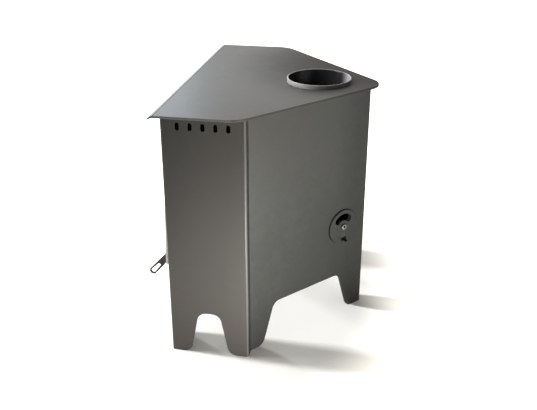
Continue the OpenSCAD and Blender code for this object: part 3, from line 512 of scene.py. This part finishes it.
def pieceFrom(mesh, name):
    data = bpy.data.meshes.new(name)
    mesh.to_mesh(data)
    mesh.free()
    piece = bpy.data.objects.new(name, data)
    bpy.context.scene.collection.objects.link(piece)
    return piece


def standIn(piece, nodeName, look):
    # the piece takes the CAD node's place, on its body and in its slot
    piece.data.materials.append(materials[look])
    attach(piece, bodyOf[nodeName])
    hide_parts(nodeName)


# Rounded edges: the CAD node's own shape with a small radius on each sharp edge
edges = {
    "smoothBelow": 20.0,      # degrees between faces that stay one smooth surface
    "flatWithin": 0.3,        # degrees within which faces are merged first
    "weld": 0.000002,
    "segments": 3,
}


def softEdge(nodeName, radius, look):
    mesh = bmesh.new()
    mesh.from_mesh(nodes[nodeName].data)
    bmesh.ops.remove_doubles(mesh, verts=mesh.verts, dist=edges["weld"])
    bmesh.ops.dissolve_limit(mesh, angle_limit=math.radians(edges["flatWithin"]), verts=mesh.verts,
                             edges=mesh.edges)
    sharp = math.radians(edges["smoothBelow"])
    for face in mesh.faces:
        face.smooth = True
    for edge in mesh.edges:
        edge.smooth = edge.is_manifold and edge.calc_face_angle(0.0) < sharp
    piece = pieceFrom(mesh, nodeName + "_soft")
    bevel = piece.modifiers.new("edge radius", "BEVEL")
    bevel.width = radius
    bevel.segments = edges["segments"]
    bevel.limit_method = "ANGLE"
    bevel.angle_limit = sharp
    bevel.use_clamp_overlap = False
    bevel.harden_normals = True
    bevel.miter_outer = "MITER_ARC"
    standIn(piece, nodeName, look)


# radius in metres; the flue socket is only smoothed
softNodes = {
    "top_plate": 0.0008, "front_panel": 0.0006, "rear_panel_right": 0.0006, "rear_panel_left": 0.0006,
    "side_shield_right": 0.0004, "side_shield_left": 0.0004, "side_wall_right": 0.0005,
    "side_wall_left": 0.0005, "bottom_plate": 0.0004, "floor_plate": 0.0004, "damper_disc": 0.0004,
    "door_frame": 0.0006, "drawer_front": 0.0006, "latch_arm": 0.0005, "latch_grip": 0.0006,
    "latch_tongue": 0.0005, "hinge_eyes_body": 0.0005, "hinge_eyes_door": 0.0005, "air_duct": 0.0003,
    "drawer_rails": 0.0003, "brick_stops": 0.0003, "seal_strip": 0.0003, "ash_pan": 0.0003,
    "glass_clips": 0.0003, "grate": 0.0012, "log_guard": 0.0008, "baffle_plate": 0.0010,
    "floor_brick_left": 0.0012, "floor_brick_right": 0.0012, "floor_brick_rear": 0.0012,
    "side_brick_right": 0.0012, "side_brick_left": 0.0012, "rear_brick_right": 0.0012,
    "rear_brick_left": 0.0012, "door_glass": 0.0005, "drawer_knob": 0.0004, "latch_spindle": 0.0004,
    "latch_bush": 0.0003, "latch_nut": 0.0003, "damper_washer": 0.0002, "damper_nut": 0.0002,
    "drawer_screw": 0.0002, "clip_screws": 0.0002, "hinge_pins": 0.0003, "flue_collar": 0.0,
}
# what looks unlike the rest of its material slot
ownLook = {
    "ash_pan": "pan_steel", "top_plate": "plate_paint", "rear_panel_right": "back_paint",
    # the air duct's sooty paint is painted shade behind the damper's slot
    "rear_panel_left": "back_paint", "air_duct": "soot_paint", "baffle_plate": "soot_paint",
    "flue_collar": "ring_paint", "damper_pivot": "screw_steel", "side_shield_right": "shield_paint",
    "side_shield_left": "shield_paint", "latch_grip": "grip_paint", "damper_disc": "disc_paint",
    "damper_washer": "disc_paint",
}
for nodeName, radius in softNodes.items():
    softEdge(nodeName, radius, ownLook.get(nodeName, slotOf[nodeName]))
print("softened", len(softNodes), "nodes")

# Seals: a squashed knitted rope in the door's channel, and flat tapes under the glass and drawer front
doorRope = {"half": 0.0062, "around": 28, "step": 0.004, "squareness": 3.0, "corner": 0.008}
glassTape = {"half": 0.0045, "around": 24, "step": 0.004, "squareness": 4.0, "corner": 0.006}
drawerTape = {"half": 0.0020, "around": 20, "step": 0.003, "squareness": 3.0, "corner": 0.0032}
strands = {"count": 4, "depth": 0.015, "twist": 1.3, "cornerSteps": 6}


def rectanglePath(low, high, y, corner, step):
    points = []
    spots = [(high[0], low[1], -90), (high[0], high[1], 0), (low[0], high[1], 90), (low[0], low[1], 180)]
    for x, z, start in spots:
        cx = x - math.copysign(corner, x - (low[0] + high[0]) / 2)
        cz = z - math.copysign(corner, z - (low[1] + high[1]) / 2)
        for i in range(strands["cornerSteps"] + 1):
            angle = math.radians(start + 90 / strands["cornerSteps"] * i)
            points.append(Vector((cx + corner * math.cos(angle), y, cz + corner * math.sin(angle))))
    path = []
    for i, point in enumerate(points):
        after = points[(i + 1) % len(points)]
        count = max(1, round((after - point).length / step))
        path += [point.lerp(after, j / count) for j in range(count)]
    return path


def ropeRing(nodeName, look):
    low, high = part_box(nodeName)
    deep = high.y - low.y
    wide = look["half"]
    path = rectanglePath((low.x + wide, low.z + wide), (high.x - wide, high.z - wide),
                         (low.y + high.y) / 2, look["corner"], look["step"])
    mesh = bmesh.new()
    rings = []
    for i, point in enumerate(path):
        ahead = (path[(i + 1) % len(path)] - path[i - 1]).normalized()
        side = Vector((0, 1, 0)).cross(ahead).normalized()
        ring = []
        for k in range(look["around"]):
            angle = 2 * math.pi * k / look["around"]
            c, s = math.cos(angle), math.sin(angle)
            size = (abs(c) ** look["squareness"] + abs(s) ** look["squareness"]) ** (-1 / look["squareness"])
            ridge = math.cos(strands["count"] * angle + i * strands["twist"]) - 1
            strand = 1 + strands["depth"] * ridge
            across = side * (c * size * strand * wide)
            out = Vector((0, s * size * strand * deep / 2, 0))
            ring.append(mesh.verts.new(point + across + out))
        rings.append(ring)
    for i, ring in enumerate(rings):
        after = rings[(i + 1) % len(rings)]
        for k in range(look["around"]):
            n = (k + 1) % look["around"]
            mesh.faces.new((ring[k], ring[n], after[n], after[k])).smooth = True
    bmesh.ops.recalc_face_normals(mesh, faces=mesh.faces)
    standIn(pieceFrom(mesh, nodeName + "_knit"), nodeName, "seal_rope")


ropeRing("door_rope", doorRope)
ropeRing("glass_tape", glassTape)
ropeRing("drawer_tape_seal", drawerTape)
print("door rope and tapes laid")

for nodeName, node in nodes.items():
    node.data.materials.clear()
    node.data.materials.append(materials[ownLook.get(nodeName, slotOf[nodeName])])

# Floor, world and lamps
studio = {
    "floorColour": (0.8, 0.8, 0.79, 1.0),
    "floorSize": 14.0,
    "floorRoughness": 0.7,
    "floorSpecular": 0.2,
    "floorBounce": 0.2,         # share of the floor's colour that shines back on the stove
    "glow": (1.0, 0.955, 0.85, 1.0),
    "floorLift": 0.27,          # by the feet, what camera and gloss see beyond the floor's own light
    "farLift": 0.58,            # the same away from them
    "whiteLift": 0.7,           # added there for the camera alone, so that the floor ends in white
    "liftShape": (0.55, 1.0, 0.0),  # the distance from the middle counts less to the sides
    "liftFrom": 0.17,           # that distance where near turns into far
    "liftTo": 0.32,
    # what gloss sees of the pale floor fades to the front right and the back:
    # direction, from, to, what is left
    "fades": [((1.0, -0.7, 0.0), 0.8, 1.7, 0.0), ((-0.35, 1.0, 0.0), 0.95, 1.7, 0.35)],
    "shadowReach": 0.07,        # how far the feet shade the floor around them
    # low lights along the floor: direction, strength, softness in degrees
    "skims": [((0.06, 1.0, -0.07), 30.0, 6.0), ((0.75, 1.0, -0.16), 3.5, 7.0)],
    "world": 0.0,               # light from all round
    "lamps": {
        # name: (where it stands, what it looks at, width, height, watts, colour)
        "over the front": ((0.1, -0.55, 0.85), (0.0, -0.12, 0.45), 0.5, 0.4, 8.0, (1.0, 1.0, 1.0)),
        "front left": ((-1.31, -0.92, 0.98), (0.0, 0.0, 0.45), 0.8, 0.6, 3.0, (0.72, 0.87, 1.0)),
        "floor right": ((0.75, 0.34, 0.02), (0.75, 0.34, 1.0), 0.5, 0.5, 2.9, (1.0, 0.97, 0.92)),
        "floor behind": ((0.72, 0.6, 0.02), (0.72, 0.6, 1.0), 0.9, 0.8, 7.0, (0.97, 1.0, 0.97)),
        "floor left": ((-0.85, 0.15, 0.02), (-0.85, 0.15, 1.0), 0.9, 0.9, 8.0, (1.0, 1.0, 1.0)),
        "beside the foot": ((0.45, 0.12, 0.12), (0.24, -0.02, 0.15), 0.12, 0.12, 1.2, (1.0, 0.96, 0.9)),
    },
    "offFloor": ["beside the foot"],    # lamps that light all but the floor
}


def rayMask(tree, spot):
    # 1 for the camera's own rays and for what shows in gloss and glass
    path = addNode(tree, "LightPath", spot).outputs
    direct = mathOf(tree, "MAXIMUM", (spot[0] + 200, spot[1]), path["Is Camera Ray"], path["Is Glossy Ray"])
    return mathOf(tree, "MAXIMUM", (spot[0] + 400, spot[1]), direct, path["Is Transmission Ray"])


def fadeOf(tree, spot):
    left = 1.0
    for row, (way, start, end, least) in enumerate(studio["fades"]):
        height = 850 + 300 * row
        aside = vectorOf(tree, "DOT_PRODUCT", (-700, height), spot, way)["Value"]
        fade = rangeOf(tree, aside, (-500, height), start, end, 1.0, least, smooth=True)
        left = mathOf(tree, "MULTIPLY", (-300, height), left, fade)
    return left


def floorMaterial():
    material, tree, shader = newMaterial("Pale floor", {
        "Roughness": studio["floorRoughness"], "Specular IOR Level": studio["floorSpecular"]})
    spot = ownCoords(tree, (-900, 450))
    camera = addNode(tree, "LightPath", (-300, 1500)).outputs["Is Camera Ray"]
    whole = mathOf(tree, "MAXIMUM", (-100, 1300), camera, fadeOf(tree, spot))
    seen = mathOf(tree, "MULTIPLY", (0, 0), rayMask(tree, (-600, 0)), whole)
    # the floor's own colour, dimmed where it only throws light back
    dim = [v * studio["floorBounce"] for v in studio["floorColour"][:3]] + [1.0]
    pale = blendColours(tree, seen, dim, studio["floorColour"], (200, 0))
    feed(tree, pale, shader.inputs["Base Color"])
    # what is seen on top of it
    shaped = vectorOf(tree, "MULTIPLY", (-700, 450), spot, studio["liftShape"])[0]
    away = vectorOf(tree, "LENGTH", (-500, 450), shaped)["Value"]
    near, far = studio["liftFrom"], studio["liftTo"]
    lift = rangeOf(tree, away, (-300, 450), near, far, studio["floorLift"], studio["farLift"], smooth=True)
    white = rangeOf(tree, away, (-100, 800), near, far, 0.0, studio["whiteLift"], smooth=True)
    shade = addNode(tree, "AmbientOcclusion", (-300, 650), {"Distance": studio["shadowReach"]}, samples=16)
    shaded = mathOf(tree, "MULTIPLY", (-100, 550), shade.outputs["AO"], lift)
    base = mathOf(tree, "MULTIPLY", (300, 450), seen, shaded)
    strength = mathOf(tree, "MULTIPLY_ADD", (450, 450), camera, white, base)
    glow = addNode(tree, "Emission", (600, 250), {"Color": studio["glow"], "Strength": strength})
    both = addNode(tree, "AddShader", (780, 100), {0: shader.outputs[0], 1: glow.outputs[0]})
    feed(tree, both.outputs[0], tree.nodes["Material Output"].inputs[0])
    return material


def makeFloor():
    half = studio["floorSize"] / 2
    corners = [(-half, -half, 0), (half, -half, 0), (half, half, 0), (-half, half, 0)]
    data = bpy.data.meshes.new("floor")
    data.from_pydata(corners, [], [(0, 1, 2, 3)])
    data.materials.append(floorMaterial())
    floor = bpy.data.objects.new("floor", data)
    bpy.context.scene.collection.objects.link(floor)
    return floor


def makeWorld():
    world = bpy.data.worlds.new("studio")
    bpy.context.scene.world = world
    world.use_nodes = True
    tree = world.node_tree
    tree.nodes.clear()
    level = rangeOf(tree, rayMask(tree, (-500, 0)), (100, 0), 0.0, 1.0, studio["world"], 1.0)
    back = addNode(tree, "Background", (300, 0), {"Color": (1.0, 1.0, 1.0, 1.0), "Strength": level})
    addNode(tree, "OutputWorld", (500, 0), {0: back.outputs[0]})


def makeLamps(floor):
    offFloor = bpy.data.collections.new("kept off the floor")
    offFloor.objects.link(floor)
    offFloor.collection_objects[0].light_linking.link_state = "EXCLUDE"
    for name, (spot, target, width, height, watts, colour) in studio["lamps"].items():
        lamp = bpy.data.lights.new(name, "AREA")
        lamp.shape = "RECTANGLE"
        lamp.size = width
        lamp.size_y = height
        lamp.energy = watts
        lamp.color = colour
        holder = bpy.data.objects.new(name, lamp)
        holder.location = spot
        holder.rotation_euler = (Vector(target) - Vector(spot)).to_track_quat("-Z", "Y").to_euler()
        holder.visible_camera = False
        bpy.context.scene.collection.objects.link(holder)
        if name in studio["offFloor"]:
            holder.light_linking.receiver_collection = offFloor


# Low lights that reach the floor alone, so that the feet throw their shadows along it
def makeSkims(floor):
    onlyFloor = bpy.data.collections.new("lit along the floor")
    onlyFloor.objects.link(floor)
    for toward, strength, softness in studio["skims"]:
        lamp = bpy.data.lights.new("along the floor", "SUN")
        lamp.energy = strength
        lamp.angle = math.radians(softness)
        holder = bpy.data.objects.new("along the floor", lamp)
        holder.rotation_euler = Vector(toward).to_track_quat("-Z", "Y").to_euler()
        bpy.context.scene.collection.objects.link(holder)
        holder.light_linking.receiver_collection = onlyFloor


# Camera, as fitted to the photo's edges; lengths in metres and pixels
view = {
    "spot": (1.35153, 0.24294, 0.82408),
    "right": (-0.178572, 0.983927, 0.000602),
    "down": (0.408967, 0.074780, -0.909480),
    "ahead": (-0.894907, -0.162161, -0.415748),
    "focal": 771.48,
    "imageWidth": 537.0,
    "sensor": 36.0,             # millimetres
}


def makeCamera():
    data = bpy.data.cameras.new("photo view")
    data.sensor_fit = "HORIZONTAL"
    data.sensor_width = view["sensor"]
    data.lens = view["focal"] / view["imageWidth"] * view["sensor"]
    camera = bpy.data.objects.new("photo view", data)
    turn = Matrix((view["right"], [-v for v in view["down"]], [-v for v in view["ahead"]])).transposed()
    camera.matrix_world = Matrix.Translation(view["spot"]) @ turn.to_4x4()
    bpy.context.scene.collection.objects.link(camera)
    bpy.context.scene.camera = camera


floor = makeFloor()
makeWorld()
makeLamps(floor)
makeSkims(floor)
makeCamera()
bpy.context.scene.view_settings.view_transform = "Standard"
print("studio ready")
